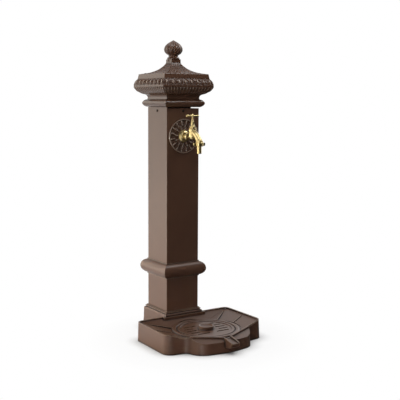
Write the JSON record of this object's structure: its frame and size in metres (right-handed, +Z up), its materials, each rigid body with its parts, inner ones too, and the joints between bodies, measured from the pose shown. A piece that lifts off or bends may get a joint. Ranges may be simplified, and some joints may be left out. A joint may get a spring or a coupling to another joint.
{
  "type": "garden water fountain",
  "caption": "Free-standing square column water fountain with moulded cap, lobed finial, brass bib tap with hose union, and a bow-fronted catch basin with a lift-out drain grate.",
  "frame": {"origin": "on the ground, on the axis of the column and at the centre of the four anchor holes", "axes": "+Z up along the column; -Y is the front, where the tap and the basin are; +X is to the right of someone who faces the front and looks along +Y"},
  "size_m": [0.358, 0.4518, 0.9435],
  "materials": {
    "casting": "brown satin paint over cast iron",
    "column_paint": "brown satin paint over steel",
    "plated_steel": "zinc plated",
    "blackened_steel": "blackened",
    "polished_brass": "polished",
    "raw_brass": "machined",
    "rubber": "matt black",
    "fibre": "red fibre",
    "waste_plastic": "moulded"
  },
  "bodies": {
    "fountain": {"plinth": "casting", "mid_collar": "casting", "cap": "casting", "finial": "casting", "rosette": "casting", "basin": "casting", "column": "column_paint", "tie_rod": "plated_steel", "tie_rod_nuts": "plated_steel", "basin_bolts": "plated_steel", "riser_pipe": "plated_steel", "riser_clip": "plated_steel", "top_bridge": "blackened_steel", "bridge_screws": "blackened_steel", "plinth_screws": "blackened_steel", "collar_grub_screws": "blackened_steel", "neck_set_screw": "blackened_steel", "riser_clip_screw": "blackened_steel", "wall_flange": "polished_brass", "tap_body": "polished_brass", "bonnet": "polished_brass", "gland_nut": "polished_brass", "tap_lock_nut": "raw_brass", "upper_elbow": "raw_brass", "lower_elbow": "raw_brass", "inlet_nipple": "raw_brass", "inlet_lock_nut": "raw_brass", "tap_seal": "rubber", "inlet_washer": "rubber", "waste_gasket": "rubber", "gland_packing": "rubber", "bonnet_seal": "fibre", "drain_waste": "waste_plastic", "waste_nut": "waste_plastic"},
    "valve": {"jumper_valve": "raw_brass", "valve_washer": "rubber", "washer_nut": "raw_brass"},
    "handle": {"spindle": "raw_brass", "tee_handle": "polished_brass", "handle_nut": "polished_brass"},
    "hose_tail": {"hose_tail": "polished_brass", "union_washer": "rubber"},
    "wing_nut": {"wing_nut": "polished_brass"},
    "grate": {"drain_grate": "casting"}
  },
  "joints": [
    {"name": "valve_rise", "type": "slide", "parent": "fountain", "child": "valve", "axis": [0, 0, 1], "range_m": [0, 0.00508]},
    {"name": "handle_turn", "type": "hinge", "parent": "valve", "child": "handle", "pos_m": [0, -0.115, 0.69], "axis": [0, 0, 1], "range_deg": [0, 810]},
    {"name": "tail_drop", "type": "slide", "parent": "fountain", "child": "hose_tail", "axis": [0, 0, -1], "range_m": [0, 0.00501]},
    {"name": "wing_nut_turn", "type": "hinge", "parent": "hose_tail", "child": "wing_nut", "pos_m": [0, -0.1545, 0.618], "axis": [0, 0, -1], "range_deg": [0, 990]},
    {"name": "grate_lift", "type": "slide", "parent": "fountain", "child": "grate", "axis": [0, 0, 1], "range_m": [0, 0.06]}
  ],
  "couplings": [
    {"joint": "valve_rise", "follows": "handle_turn", "m_per_rad": 0.0003581},
    {"joint": "tail_drop", "follows": "wing_nut_turn", "m_per_rad": 0.00028871}
  ]
}
